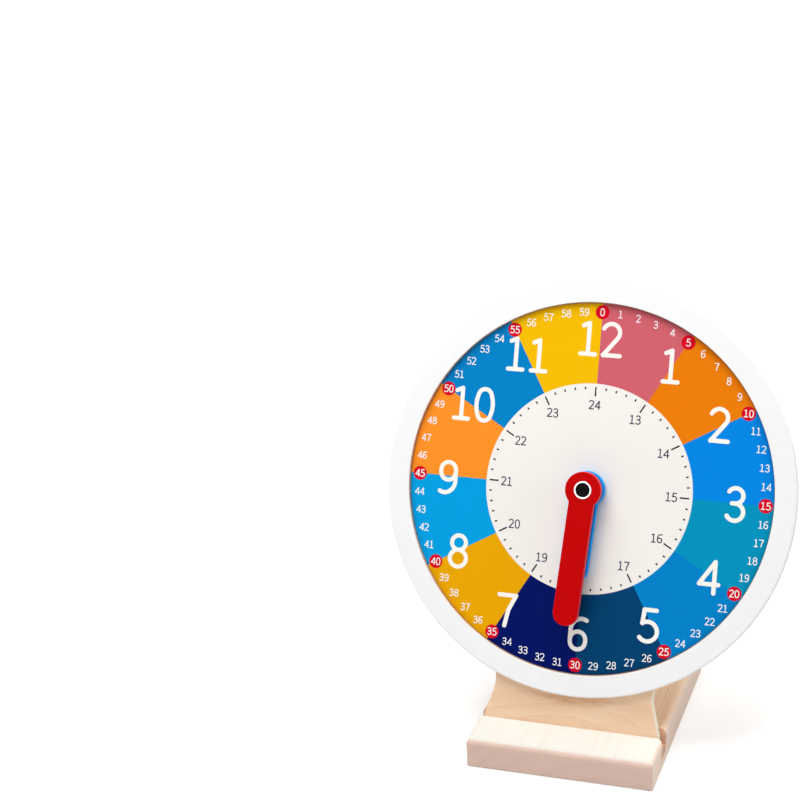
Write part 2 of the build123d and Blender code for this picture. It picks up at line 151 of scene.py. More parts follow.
# ---- what a user can change ----
class DialPrint(PropertyGroup):
    """Sizes and colours of everything printed on the dial."""

    twelve_to_one: colour("12 to 1", "Sector from twelve to one", 209, 98, 110)
    one_to_two: colour("1 to 2", "Sector from one to two", 236, 126, 5)
    two_to_three: colour("2 to 3", "Sector from two to three", 0, 135, 228)
    three_to_four: colour("3 to 4", "Sector from three to four", 0, 147, 190)
    four_to_five: colour("4 to 5", "Sector from four to five", 0, 131, 202)
    five_to_six: colour("5 to 6", "Sector from five to six", 0, 65, 111)
    six_to_seven: colour("6 to 7", "Sector from six to seven", 0, 18, 98)
    seven_to_eight: colour("7 to 8", "Sector from seven to eight", 236, 168, 0)
    eight_to_nine: colour("8 to 9", "Sector from eight to nine", 0, 160, 226)
    nine_to_ten: colour("9 to 10", "Sector from nine to ten", 255, 146, 40)
    ten_to_eleven: colour("10 to 11", "Sector from ten to eleven", 0, 130, 199)
    eleven_to_twelve: colour("11 to 12", "Sector from eleven to twelve", 245, 188, 0)
    centre_colour: colour("Centre", "Cream disc inside the sectors", 246, 242, 236)
    hour_colour: colour("Hours", "Large hour numbers", 252, 249, 242)
    minute_colour: colour("Minutes", "Small minute numbers", 250, 250, 250)
    disc_colour: colour("Discs", "Discs behind every fifth minute", 218, 6, 34)
    slate_colour: colour("Slate", "Numbers 13 to 24 on the cream centre", 44, 50, 76)
    tick_colour: colour("Ticks", "Ticks and dashes of the cream centre", 20, 22, 34)
    centre_radius: length("Centre radius", "Radius of the cream disc", 56.4)
    hour_circle: length("Hour circle", "Radius on which the hour numbers are centred", 79.0)
    hour_height: length("Hour height", "Height of the hour numbers", 18.8)
    hour_stroke: length("Hour stroke", "Pen width of the hour numbers", 2.3)
    minute_circle: length("Minute circle", "Radius on which the minute numbers are centred", 94.5)
    minute_height: length("Minute height", "Height of the minute numbers", 4.1)
    minute_stroke: length("Minute stroke", "Pen width of the minute numbers", 0.48)
    five_stroke: length("Five-minute stroke", "Pen width of the numbers on the discs", 0.51)
    disc_radius: length("Disc radius", "Radius of the discs behind every fifth minute", 3.78)
    inner_circle: length("Inner circle", "Radius on which 13 to 24 are centred", 45.0)
    inner_height: length("Inner height", "Height of 13 to 24", 4.9)
    inner_stroke: length("Inner stroke", "Pen width of 13 to 24", 0.6)
    tick_inner: length("Tick start", "Radius where the hour ticks start", 49.6)
    tick_outer: length("Tick end", "Radius where the hour ticks end", 54.6)
    tick_width: length("Tick width", "Width of the ticks", 0.8)
    dash_length: length("Dash length", "Length of the short dashes between the hour ticks", 1.35)
    ink: length("Ink", "How far the ink stands above the print below it", 0.03)


class Finishes(PropertyGroup):
    """Colours of the wood, paint, metal and plastic."""

    # painted light: the top's long grain is paler than the sides', as light falls brightest on the top
    stand_wood: colour("Stand wood", "Bleached long grain of the stand's top", 227, 224, 215)
    stand_grain: colour("Stand grain", "Streaks in the bleached grain", 225, 209, 190)
    stand_side: colour("Stand side", "Long grain at the stand's sides", 244, 221, 204)
    # painted shade: the top behind the head is warmer, standing in for the head's shade and the board's
    # warm bounce
    warm_wood: colour("Sheltered wood", "Stand's top behind the head, not bleached by light", 251, 221, 190)
    warm_grain: colour("Sheltered grain", "Streaks behind the head", 222, 172, 134)
    end_grain: colour("End grain", "Front and back of the stand", 233, 202, 187)
    # painted shade over sawn wood: the slot's walls are darker, partly as shade falls in the slot
    slot_wood: colour("Slot wood", "Sawn walls of the stand's slot", 204, 148, 112)
    board_veneer: colour("Board veneer", "Face veneer of the board", 244, 213, 181)
    board_grain: colour("Board grain", "Grain of the board's veneer", 223, 169, 126)
    board_edge: colour("Board edge", "Pale plies at the board's edge", 250, 243, 226)
    board_core: colour("Board core", "Darker plies at the board's edge", 240, 224, 198)
    ring_paint: colour("Ring paint", "White paint of the ring", 247, 247, 247)
    ring_core: colour("Ring core", "Bare inner wall of the ring", 238, 208, 188)
    minute_red: colour("Minute red", "Lacquer of the minute hand", 198, 0, 2)
    hour_blue: colour("Hour blue", "Lacquer of the hour hand", 0, 142, 250)
    # painted highlight: the hands' sides are lighter than their faces, where light catches them
    minute_side: colour("Minute side", "Sides of the minute hand", 231, 89, 104)
    hour_side: colour("Hour side", "Sides of the hour hand", 24, 180, 255)
    gear_red: colour("Gear red", "Cannon pinion and setting knob", 196, 14, 22)
    gear_blue: colour("Gear blue", "Hour wheel", 10, 120, 214)
    gear_yellow: colour("Gear yellow", "Compound gear", 240, 184, 16)
    nickel: colour("Nickel", "Plated parts", 224, 222, 218)
    brass: colour("Brass", "Turned parts", 222, 186, 116)
    spring_steel: colour("Spring steel", "Retaining clip", 96, 98, 104)
    black_plastic: colour("Black plastic", "Plug in the hub and friction washer", 5, 5, 5)
    white_plastic: colour("White plastic", "Spacer between the hands", 236, 236, 232)
    acrylic: colour("Acrylic", "Clear plate over the gears", 240, 247, 249)


class Stage(PropertyGroup):
    """Light, floor and camera."""

    sky: FloatProperty(name="Sky", description="Brightness of the room all round", min=0.0, default=0.19)
    top_light: power("Top light", "Soft lamp above", 18.3)
    front_light: power("Front light", "Soft lamp in front", 3.9)
    side_light: power("Side light", "Soft lamp at the right", 2.2)
    rear_light: power("Rear light", "Soft lamp behind", 6.4)
    floor_colour: colour("Floor", "The table that the clock stands on", 214, 214, 214)
    lens: FloatProperty(name="Lens", description="Focal length in millimetres", min=1.0, default=99.135)
    camera_place: FloatVectorProperty(
        name="Camera", description="Where the camera stands, from the dial's centre", subtype="TRANSLATION",
        unit="LENGTH", precision=5, default=(0.26238, -1.034464, 0.504110),
    )
    camera_right: FloatVectorProperty(
        name="Right", description="The picture's right", subtype="DIRECTION",
        default=(0.94800, 0.31491, -0.04615),
    )
    camera_up: FloatVectorProperty(
        name="Up", description="The picture's up", subtype="DIRECTION",
        default=(-0.08204, 0.38189, 0.92056),
    )


# ---- materials: arithmetic on sockets ----
class Wire:
    """An output socket. Arithmetic on it adds Math nodes to its material."""

    def __init__(self, finish, socket):
        self.finish = finish
        self.socket = socket

    def math(self, operation, *others):
        settings = {"operation": operation}
        return self.finish.add("ShaderNodeMath", settings, dict(enumerate((self, *others))))

    def __add__(self, other):
        return self.math("ADD", other)

    def __sub__(self, other):
        return self.math("SUBTRACT", other)

    def __rsub__(self, other):
        return self * -1.0 + other

    def __mul__(self, other):
        return self.math("MULTIPLY", other)

    def __truediv__(self, other):
        return self.math("DIVIDE", other)

    def __pow__(self, other):
        return self.math("POWER", other)

    def __gt__(self, other):
        return self.math("GREATER_THAN", other)

    def __lt__(self, other):
        return self.math("LESS_THAN", other)

    def abs(self):
        return self.math("ABSOLUTE")

    def fract(self):
        return self.math("FRACT")

    def clamp(self):
        return self.math("MAXIMUM", 0.0).math("MINIMUM", 1.0)


class Finish:
    """A new material, or the world, while its nodes are being added."""

    def __init__(self, owner):
        self.owner = owner
        self.owner.use_nodes = True
        self.tree = owner.node_tree
        self.tree.nodes.clear()

    def add(self, kind, settings=None, sockets=None, output=0):
        """Adds a node: first its settings, then the values or links of its sockets."""
        node = self.tree.nodes.new(kind)
        for name, value in (settings or {}).items():
            setattr(node, name, value)
        for name, value in (sockets or {}).items():
            socket = node.inputs[name]
            if isinstance(value, Wire):
                self.tree.links.new(value.socket, socket)
            elif socket.type == "RGBA" and len(value) == 3:
                socket.default_value = (*value, 1.0)
            else:
                socket.default_value = value
        return Wire(self, node.outputs[output]) if node.outputs else node

    def here(self):
        """The point on the surface, in millimetres in the clock's frame."""
        point = self.add("ShaderNodeTexCoord", output="Object")
        return self.add("ShaderNodeMapping", {"vector_type": "TEXTURE"}, {0: point, "Scale": (MM, MM, MM)})

    def on_dial(self):
        """The point on the surface, in millimetres in the dial's frame."""
        point = self.add("ShaderNodeTexCoord", output="Object")
        place = {0: point, "Location": DIAL_CENTRE, "Rotation": (-DIAL_TURN, 0, 0), "Scale": (MM, MM, MM)}
        return self.add("ShaderNodeMapping", {"vector_type": "TEXTURE"}, place)

    def facing(self, direction):
        """How squarely the surface faces along a direction, either way, from 0 to 1."""
        normal = self.add("ShaderNodeTexCoord", output="Normal")
        sockets = {0: normal, 1: direction}
        return self.add("ShaderNodeVectorMath", {"operation": "DOT_PRODUCT"}, sockets, "Value").abs()

    def split(self, vector):
        """The x, y and z of a vector."""
        node = self.add("ShaderNodeSeparateXYZ", None, {0: vector}).socket.node
        return [Wire(self, socket) for socket in node.outputs]

    def stretch(self, vector, x, y, z):
        """A vector with each part multiplied, which stretches the pattern that reads it."""
        return self.add("ShaderNodeVectorMath", {"operation": "MULTIPLY"}, {0: vector, 1: (x, y, z)})

    def noise(self, vector, scale, detail=2.0, roughness=0.5):
        """Smooth noise from 0 to 1."""
        sockets = {"Vector": vector, "Scale": scale, "Detail": detail, "Roughness": roughness}
        return self.add("ShaderNodeTexNoise", None, sockets)

    def mix(self, share, first, second, blend="MIX"):
        """Two colours mixed: the first where share is 0 and the second where it is 1."""
        settings = {"data_type": "RGBA", "blend_type": blend}
        return self.add("ShaderNodeMix", settings, {0: share, 6: first, 7: second}, 2)

    def shade(self, tint, amount):
        """A colour made lighter or darker by a value that is 1 for no change."""
        scaled = {0: tint, "Scale": amount}
        return self.add("ShaderNodeVectorMath", {"operation": "SCALE"}, scaled)

    def bump(self, height, distance, strength=1.0):
        """A normal from a height from 0 to 1, distance millimetres deep."""
        sockets = {"Height": height, "Distance": distance * MM, "Strength": strength}
        return self.add("ShaderNodeBump", None, sockets)

    def surface(self, **sockets):
        """Adds the shader, with sockets named as words joined by underscores, and the output."""
        named = {name.replace("_", " "): value for name, value in sockets.items()}
        shader = self.add("ShaderNodeBsdfPrincipled", None, named)
        self.add("ShaderNodeOutputMaterial", None, {"Surface": shader})
        return self.owner


def off_axis(across, along):
    """How far a point lies from the line where both of its parts are 0."""
    return (across ** 2.0 + along ** 2.0) ** 0.5


def wear(finish, point, low, high):
    """A roughness that drifts between two values, with finer scuffs over it."""
    drift = finish.noise(point, 0.035, detail=3.0)
    scuffs = finish.noise(finish.stretch(point, 1.0, 0.25, 1.0), 0.9, detail=4.0, roughness=0.65)
    return (drift * 0.6 + scuffs * 0.4) * (high - low) + low


def stand_wood(colours):
    """Pine with end grain in front and a sawn slot. Painted light and shade: the top paler in front of the
    head, warmer behind it in the head's shade and the board's bounce, and the slot's walls darker.
    """
    finish = Finish(bpy.data.materials.new("stand_pine"))
    point = finish.here()
    x, y, z = finish.split(point)
    wander = finish.noise(finish.stretch(point, 1.0, 0.2, 1.0), 0.02, detail=1.0) * 18.0
    from_pith = off_axis(x - PITH_X, z - PITH_Z) + wander
    late_wood = (from_pith / YEAR_RING).fract() ** 4.0
    patchy = finish.noise(finish.stretch(point, 1.0, 0.1, 1.0), 0.06)
    fibres = finish.noise(finish.stretch(point, 3.2, 0.06, 3.2), 1.0, detail=5.0, roughness=0.6)
    streaks = finish.noise(finish.stretch(point, 0.55, 0.011, 0.55), 1.0, detail=4.0, roughness=0.62)
    streaks = ((streaks - 0.5) * 5.0).clamp()
    end = ((finish.facing((0, 1, 0)) - 0.55) * 4.0).clamp()
    upward = ((finish.facing((0, 0, 1)) - 0.6) * 4.0).clamp()
    sideways = ((finish.facing((1, 0, 0)) - 0.4) * 3.0).clamp()
    # painted shade: the top behind the board, in the head's shade and the board's warm bounce
    in_head_shade = ((y - BOARD_MEETS_BASE) / 6.0).clamp() * upward
    # painted light: the top paler than the sides, where light falls brightest
    pale = finish.mix(streaks * 0.45, colours.stand_wood, colours.stand_grain)
    pale = finish.mix(sideways, pale, finish.mix(streaks * 0.3, colours.stand_side, colours.warm_grain))
    warm = finish.mix(streaks * 0.5 + late_wood * 0.5, colours.warm_wood, colours.warm_grain)
    arcs = late_wood * patchy
    across = finish.mix(arcs * 0.55, colours.end_grain, finish.shade(colours.end_grain, 0.84))
    tint = finish.mix(end, finish.mix(in_head_shade, pale, warm), across)
    _, _, out = finish.split(finish.on_dial())
    # painted shade over sawn wood: the slot's walls and the flare behind the board are darker
    in_slot = ((out - SLOT_MIDDLE).abs() < SLOT_REACH) * (z > SLOT_FLOOR)
    tint = finish.mix(in_slot * 0.85, tint, colours.slot_wood)
    tint = finish.shade(tint, fibres * 0.08 + 0.96)
    return finish.surface(
        Base_Color=tint,
        Roughness=wear(finish, point, 0.5, 0.68),
        Specular_IOR_Level=0.2,
        Normal=finish.bump(fibres * 0.7 + late_wood * 0.3, 0.05),
    )


def board_ply(colours):
    """Birch plywood: veneer with its grain across, in long arches, pale plies at the edge, and painted
    shade just under the ring.
    """
    finish = Finish(bpy.data.materials.new("board_birch_ply"))
    point = finish.on_dial()
    x, y, z = finish.split(point)
    wander = finish.noise(finish.stretch(point, 0.009, 0.03, 0.02), 1.0) * 22.0
    arch = (y - ARCH_TOP + x * x * ARCH_BEND + wander) / ARCH_STEP
    figure = arch.fract() ** 2.0
    cloud = finish.noise(finish.stretch(point, 0.02, 0.05, 0.03), 1.0)
    fibres = finish.noise(finish.stretch(point, 0.07, 2.6, 2.6), 1.0, detail=5.0, roughness=0.62)
    flecks = finish.noise(finish.stretch(point, 0.12, 1.2, 1.2), 1.0, detail=3.0) ** 2.0
    ragged = finish.noise(finish.stretch(point, 0.12, 0.5, 0.5), 1.0, detail=3.0, roughness=0.6) * 1.4
    # painted shade: a darker patch just under the ring, where its shadow falls, over darker grain
    from_board_shade = ((x - BOARD_SHADE_X) / BOARD_SHADE_REACH) ** 2.0 + ((y - BOARD_SHADE_Y) / BOARD_SHADE_HEIGHT) ** 2.0
    board_shade = (1.4 - from_board_shade - ragged).clamp()
    dark = figure * 0.16 + flecks * 0.45 + ((cloud - 0.45) * 2.5).clamp() * 0.35 + board_shade * 0.9
    veneer = finish.mix(dark, colours.board_veneer, colours.board_grain)
    ply = ((z - BOARD_FRONT) / PLY_PAIR).fract() > 0.5
    core = finish.mix(ply * 0.35, colours.board_edge, colours.board_core)
    edge = ((0.75 - finish.facing(OUT_OF_DIAL)) * 6.0).clamp()
    tint = finish.shade(finish.mix(edge, veneer, core), fibres * 0.12 + 0.94)
    return finish.surface(
        Base_Color=tint,
        Roughness=wear(finish, point, 0.42, 0.6),
        Specular_IOR_Level=0.2,
        Normal=finish.bump(fibres, 0.04),
    )


def ring_paint(colours):
    """White satin paint with a faint orange peel, worn through to bare board on the inner wall."""
    finish = Finish(bpy.data.materials.new("ring_white_satin"))
    point = finish.on_dial()
    x, y, _ = finish.split(point)
    radius = off_axis(x, y)
    peel = finish.noise(point, 0.9)
    drift = finish.noise(point, 0.02)
    fuzz = finish.noise(finish.stretch(point, 1.0, 1.0, 3.0), 1.6, detail=4.0, roughness=0.7)
    wall = ((RING_OPENING + 0.12 - radius) * 9.0 + (fuzz - 0.5) * 0.5).clamp()
    core = finish.shade(colours.ring_core, fuzz * 0.3 + 0.85)
    tint = finish.mix(wall, finish.shade(colours.ring_paint, drift * 0.03 + 0.975), core)
    rough = wear(finish, point, 0.3, 0.42) + wall * 0.35
    return finish.surface(
        Base_Color=tint, Roughness=rough, Specular_IOR_Level=0.2, Normal=finish.bump(peel, 0.02, 0.5)
    )


def dial_print(colours):
    """Twelve printed sectors round a cream disc, satin laminated, with a faint paper tooth, and painted
    shade darkening the sectors towards the ring, where its shadow falls.
    """
    finish = Finish(bpy.data.materials.new("dial_print"))
    point = finish.on_dial()
    x, y, _ = finish.split(point)
    radius = off_axis(x, y)
    turn = ((x - PRINT_ASIDE).math("ARCTAN2", y) / (2 * pi) + 1.0).fract()
    sectors = getattr(colours, SECTORS[0])
    for place, sector in enumerate(SECTORS[1:], 1):
        sectors = finish.mix(turn > place / 12, sectors, getattr(colours, sector))
    tooth = finish.noise(point, 2.4, detail=3.0, roughness=0.6)
    cloud = finish.noise(point, 0.018)
    # painted shade: the sectors darken towards the ring, standing in for the ring's shadow
    rim = ((radius - RING_SHADE_START) / (RING_OPENING - RING_SHADE_START)).clamp() ** 2.0
    sectors = finish.shade(sectors, 1.0 - rim * RING_SHADE_DEPTH)
    centre = ((colours.centre_radius / MM - radius) * 12.0).clamp()
    tint = finish.mix(centre, sectors, colours.centre_colour)
    tint = finish.shade(tint, tooth * 0.035 + cloud * 0.05 + 0.96)
    return finish.surface(
        Base_Color=tint,
        Roughness=wear(finish, point, 0.34, 0.46),
        Specular_IOR_Level=0.03,
        Normal=finish.bump(tooth, 0.012, 0.6),
    )


def printed_ink(name, tint):
    """Opaque printed ink with a faint tooth, a little uneven as ink is."""
    finish = Finish(bpy.data.materials.new(name))
    point = finish.on_dial()
    tooth = finish.noise(point, 3.1, detail=3.0, roughness=0.6)
    cloud = finish.noise(point, 0.25)
    return finish.surface(
        Base_Color=finish.shade(tint, tooth * 0.05 + cloud * 0.04 + 0.955),
        Roughness=wear(finish, point, 0.36, 0.5),
        Specular_IOR_Level=0.03,
        Normal=finish.bump(tooth, 0.01, 0.6),
    )


def lacquer(name, tint, side_highlight_tint):
    """Satin lacquer over wood: faint grain telegraphs through, and the sides are painted lighter, a painted
    highlight where they catch more light.
    """
    finish = Finish(bpy.data.materials.new(name))
    point = finish.on_dial()
    grain = finish.noise(finish.stretch(point, 1.8, 0.12, 1.8), 1.0, detail=3.0, roughness=0.55)
    peel = finish.noise(point, 0.8)
    # painted highlight: the sides of the hand are lighter where they catch the light
    side = ((0.8 - finish.facing(OUT_OF_DIAL)) * 3.0).clamp()
    face = finish.shade(tint, grain * 0.08 + 0.96)
    return finish.surface(
        Base_Color=finish.mix(side * 0.6, face, side_highlight_tint),
        Roughness=wear(finish, point, 0.3, 0.42),
        Specular_IOR_Level=0.02,
        Coat_Weight=peel * 0.02 + 0.01,
        Coat_Roughness=0.2,
        Normal=finish.bump(grain * 0.5 + peel * 0.5, 0.015, 0.6),
    )


def turned_metal(name, tint, low, high):
    """Metal turned on a lathe: fine rings round the hands' axis, with a polish that drifts a little."""
    finish = Finish(bpy.data.materials.new(name))
    point = finish.on_dial()
    x, y, z = finish.split(point)
    turned = finish.add("ShaderNodeCombineXYZ", None, {"X": off_axis(x, y), "Y": 0.0, "Z": z})
    rings = finish.noise(turned, 9.0, detail=3.0, roughness=0.7)
    stain = finish.noise(point, 0.4, detail=3.0)
    return finish.surface(
        Base_Color=finish.shade(tint, stain * 0.14 + 0.92),
        Metallic=1.0,
        Roughness=(rings * 0.5 + stain * 0.5) * (high - low) + low,
        Normal=finish.bump(rings, 0.006, 0.5),
    )


def moulded(name, tint, low, high, shine=0.5):
    """Moulded plastic: a fine spark-eroded tooth, slight flow marks and scuffed shine."""
    finish = Finish(bpy.data.materials.new(name))
    point = finish.on_dial()
    texture = finish.noise(point, 5.0, roughness=0.6)
    flow = finish.noise(finish.stretch(point, 0.05, 0.11, 0.2), 1.0, detail=3.0)
    return finish.surface(
        Base_Color=finish.shade(tint, flow * 0.1 + 0.95),
        Roughness=wear(finish, point, low, high),
        Specular_IOR_Level=shine,
        Normal=finish.bump(texture * 0.6 + flow * 0.4, 0.012),
    )


def acrylic(colours):
    """Clear cast acrylic with faint hairline scratches."""
    finish = Finish(bpy.data.materials.new("clear_acrylic"))
    point = finish.on_dial()
    hairs = finish.noise(finish.stretch(point, 3.5, 0.08, 1.0), 1.0, detail=4.0, roughness=0.7)
    crossed = finish.noise(finish.stretch(point, 0.07, 2.9, 1.0), 1.0, detail=4.0, roughness=0.7)
    scratches = ((hairs - 0.66) * 6.0).clamp() + ((crossed - 0.68) * 6.0).clamp()
    return finish.surface(
        Base_Color=finish.shade(colours.acrylic, 1.0 - scratches * 0.03),
        Roughness=scratches * 0.12 + 0.03,
        IOR=1.49,
        Transmission_Weight=1.0,
        Normal=finish.bump(scratches, 0.004, 0.5),
    )


def cover(material, *nodes):
    """Gives modelled pieces their material."""
    for node in nodes:
        for slot in frame["nodes"][node].material_slots:
            slot.material = material


# ---- numbers: drawn with a round pen ----
# Each stroke is where the pen comes down (x, y, heading in degrees) and its moves: a length straight
# ahead, or (radius, angle) for an arc, to the left if the radius is positive. A stroke that turns all
# the way round has no ends. The numbers are 16.2 tall along the pen's middle, on a baseline at 0.
DIGIT_HEIGHT = 16.2
DIGIT_ADVANCE = 12.5
LOOP = [(6.0, 19.2), (4.06, 141.6), (6.0, 38.4), (4.06, 141.6), (6.0, 19.2)]  # an oval, taller than wide
DIGITS = {
    "0": [((4.55, 8.1, 90), [(16.2, 22.4), (3.6, 135.2), (16.2, 44.8), (3.6, 135.2), (16.2, 22.4)])],
    "1": [((0.0, 0.0, 90), [16.2]), ((0.0, 16.2, 205), [3.4]), ((-3.9, 0.0, 0), [7.8])],
    "2": [((-4.68, 13.9, 65), [(-4.5, 193), 11.8]), ((-4.4, 0.0, 0), [9.0])],
    "3": [((-3.72, 14.5, 60), [(-3.95, 240), 1.6]), ((-1.9, 8.6, 0), [1.6, (-4.45, 240)])],
    "4": [((2.75, 0.0, 90), [16.2]), ((-5.0, 4.5, 0), [10.0]), ((-5.0, 4.5, 56.5), [14.03])],
    "5": [((-2.6, 16.2, 0), [6.4]), ((-2.6, 16.2, -94.8), [7.2]), ((-3.35, 9.1, 35), [(-5.15, 265)])],
    "6": [((4.1, 15.6, 150), [(5.1, 60), (6.4, 60), 5.4]), ((-4.2, 4.7, 270), LOOP)],
    "7": [((-4.6, 16.2, 0), [9.2]), ((4.5, 16.2, 238), [(35.2, 28)])],
    "8": [((3.85, 12.6, 90), [(3.85, 360)]), ((4.5, 4.25, 90), [(4.5, 360)])],
    "9": [((-4.1, 0.6, 330), [(5.1, 60), (6.4, 60), 5.4]), ((4.2, 11.5, 90), LOOP)],
}


class Pen:
    """Draws flat strokes with round ends into a bmesh, each a hair above the last."""

    def __init__(self, page, width, arc_step, lift):
        self.page = page
        self.width = width
        self.arc_step = arc_step
        self.lift = lift
        self.level = 0.0

    def stroke(self, x, y, heading, moves):
        """One stroke: an edge as wide as the pen, extruded along the straights and spun round the arcs."""
        closed = sum(abs(move[1]) for move in moves if isinstance(move, tuple)) >= 359.9
        self.place = Vector((x, y, self.level))
        self.heading = radians(heading)
        half = self.across() * self.width / 2
        ends = [self.page.verts.new(self.place + half), self.page.verts.new(self.place - half)]
        nib = [*ends, self.page.edges.new(ends)]
        if not closed:
            self.cap(ends[0], 180)
        for move in moves:
            nib = self.arc(nib, *move) if isinstance(move, tuple) else self.straight(nib, move)
        if not closed:
            last = [v for v in nib if isinstance(v, bmesh.types.BMVert)]
            left = max(last, key=lambda v: (v.co - self.place).dot(self.across()))
            self.cap(left, -180)
        self.level += self.lift

    def ahead(self):
        return Vector((cos(self.heading), sin(self.heading), 0.0))

    def across(self):
        return Vector((-sin(self.heading), cos(self.heading), 0.0))

    def straight(self, nib, distance):
        edges = [e for e in nib if isinstance(e, bmesh.types.BMEdge)]
        made = bmesh.ops.extrude_edge_only(self.page, edges=edges)["geom"]
        verts = [v for v in made if isinstance(v, bmesh.types.BMVert)]
        bmesh.ops.translate(self.page, verts=verts, vec=self.ahead() * distance)
        self.place += self.ahead() * distance
        far = [e for e in made if isinstance(e, bmesh.types.BMEdge) and all(v in verts for v in e.verts)]
        return verts + far

    def arc(self, nib, radius, angle):
        turn = angle if radius > 0 else -angle
        centre = self.place + self.across() * radius
        steps = max(2, round(angle / self.arc_step))
        made = bmesh.ops.spin(
            self.page, geom=nib, cent=centre, axis=(0, 0, 1), angle=radians(turn), steps=steps,
            use_duplicate=False,
        )
        self.place = centre + Matrix.Rotation(radians(turn), 3, "Z") @ (self.place - centre)
        self.heading += radians(turn)
        return made["geom_last"]

    def cap(self, side, angle):
        """Half a disc on the pen's end, spun from one side to the other."""
        middle = self.page.verts.new(self.place)
        rim = self.page.verts.new(side.co)
        spoke = [middle, rim, self.page.edges.new((middle, rim))]
        steps = max(4, round(180 / self.arc_step))
        bmesh.ops.spin(
            self.page, geom=spoke, cent=self.place, axis=(0, 0, 1), angle=radians(angle), steps=steps,
        )


def write_number(page, text, x, y, height, stroke, arc_step):
    """Draws one number with its middle at (x, y), upright."""
    size = (height - stroke) / DIGIT_HEIGHT
    before = set(page.verts)
    pen = Pen(page, stroke / size, arc_step, STROKE_LIFT / size)
    first = -DIGIT_ADVANCE * (len(text) - 1) / 2
    for place, digit in enumerate(text):
        for (start_x, start_y, heading), moves in DIGITS[digit]:
            pen.stroke(start_x + first + place * DIGIT_ADVANCE, start_y - DIGIT_HEIGHT / 2, heading, moves)
    drawn = [v for v in page.verts if v not in before]
    bmesh.ops.scale(page, verts=drawn, vec=(size, size, size))
    bmesh.ops.translate(page, verts=drawn, vec=(x, y, 0.0))


def round_the_dial(radius, share):
    """The place on a circle, a share of a turn clockwise from twelve."""
    return radius * sin(2 * pi * share), radius * cos(2 * pi * share)


def print_on_dial(page, name, material, level, ink):
    """Gives flat strokes their thickness, lays them on the dial and lets them move with the head."""
    bmesh.ops.remove_doubles(page, verts=page.verts, dist=MERGE_DISTANCE)
    bmesh.ops.recalc_face_normals(page, faces=page.faces)
    flipped = [face for face in page.faces if face.normal.z < 0]
    bmesh.ops.reverse_faces(page, faces=flipped)
    bmesh.ops.translate(page, verts=page.verts, vec=(0.0, 0.0, level))
    made = bmesh.ops.extrude_face_region(page, geom=page.faces[:], use_keep_orig=True)["geom"]
    fronts = [v for v in made if isinstance(v, bmesh.types.BMVert)]
    bmesh.ops.translate(page, verts=fronts, vec=(0.0, 0.0, ink))
    bmesh.ops.recalc_face_normals(page, faces=page.faces)
    bmesh.ops.transform(page, matrix=DIAL_PLACE, verts=page.verts)
    mesh = bpy.data.meshes.new(name)
    page.to_mesh(mesh)
    page.free()
    mesh.materials.append(material)
    piece = bpy.data.objects.new(name, mesh)
    bpy.context.scene.collection.objects.link(piece)
    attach(piece, "clock_head")


# ---- operators: one for each piece or group of like pieces ----
class CLOCK_OT_stand(Operator):
    """Gives the stand its pine"""

    bl_idname = "teaching_clock.stand"
    bl_label = "Wooden stand"

    def execute(self, context):
        cover(stand_wood(context.scene.clock_finishes), "base_block")
        return {"FINISHED"}


class CLOCK_OT_board(Operator):
    """Gives the board behind the dial its plywood"""

    bl_idname = "teaching_clock.board"
    bl_label = "Back board"

    def execute(self, context):
        cover(board_ply(context.scene.clock_finishes), "back_board")
        return {"FINISHED"}


class CLOCK_OT_ring(Operator):
    """Paints the ring round the dial"""

    bl_idname = "teaching_clock.ring"
    bl_label = "White ring"

    def execute(self, context):
        cover(ring_paint(context.scene.clock_finishes), "bezel_ring")
        return {"FINISHED"}


class CLOCK_OT_dial_sectors(Operator):
    """Prints the dial's twelve sectors and its cream centre"""

    bl_idname = "teaching_clock.dial_sectors"
    bl_label = "Dial sectors"

    def execute(self, context):
        cover(dial_print(context.scene.clock_dial), "dial_panel")
        return {"FINISHED"}


class CLOCK_OT_hour_numbers(Operator):
    """Prints the large numbers from 1 to 12"""

    bl_idname = "teaching_clock.hour_numbers"
    bl_label = "Hour numbers"

    def execute(self, context):
        dial = context.scene.clock_dial
        page = bmesh.new()
        size = dial.hour_height / MM, dial.hour_stroke / MM
        for hour in HOURS:
            x, y = round_the_dial(dial.hour_circle / MM, hour / 12)
            right, up = HOUR_NUDGES[hour]
            write_number(page, str(hour), x + right, y + up, *size, HOUR_ARC)
        cream = printed_ink("ink_cream", dial.hour_colour)
        print_on_dial(page, "hour_numbers", cream, 0.0, dial.ink / MM)
        return {"FINISHED"}


class CLOCK_OT_minute_discs(Operator):
    """Prints the disc behind every fifth minute"""

    bl_idname = "teaching_clock.minute_discs"
    bl_label = "Five-minute discs"

    def execute(self, context):
        dial = context.scene.clock_dial
        page = bmesh.new()
        for minute in range(0, 60, 5):
            x, y = round_the_dial(dial.minute_circle / MM, minute / 60)
            bmesh.ops.create_circle(
                page, cap_ends=True, segments=DISC_SIDES, radius=dial.disc_radius / MM,
                matrix=Matrix.Translation((x + PRINT_ASIDE, y, 0.0)),
            )
        red = printed_ink("ink_red", dial.disc_colour)
        print_on_dial(page, "five_minute_discs", red, 0.0, dial.ink / MM)
        return {"FINISHED"}


class CLOCK_OT_minute_numbers(Operator):
    """Prints the small numbers from 0 to 59, bolder on the discs"""

    bl_idname = "teaching_clock.minute_numbers"
    bl_label = "Minute numbers"

    def execute(self, context):
        dial = context.scene.clock_dial
        ink = dial.ink / MM
        white = printed_ink("ink_white", dial.minute_colour)
        plain, bold = bmesh.new(), bmesh.new()
        for minute in range(60):
            x, y = round_the_dial(dial.minute_circle / MM, minute / 60)
            fifth = minute % 5 == 0
            stroke = dial.five_stroke if fifth else dial.minute_stroke
            size = dial.minute_height / MM, stroke / MM
            write_number(bold if fifth else plain, str(minute), x + PRINT_ASIDE, y, *size, MINUTE_ARC)
        print_on_dial(plain, "minute_numbers", white, 0.0, ink)
        print_on_dial(bold, "five_minute_numbers", white, ink, ink)
        return {"FINISHED"}


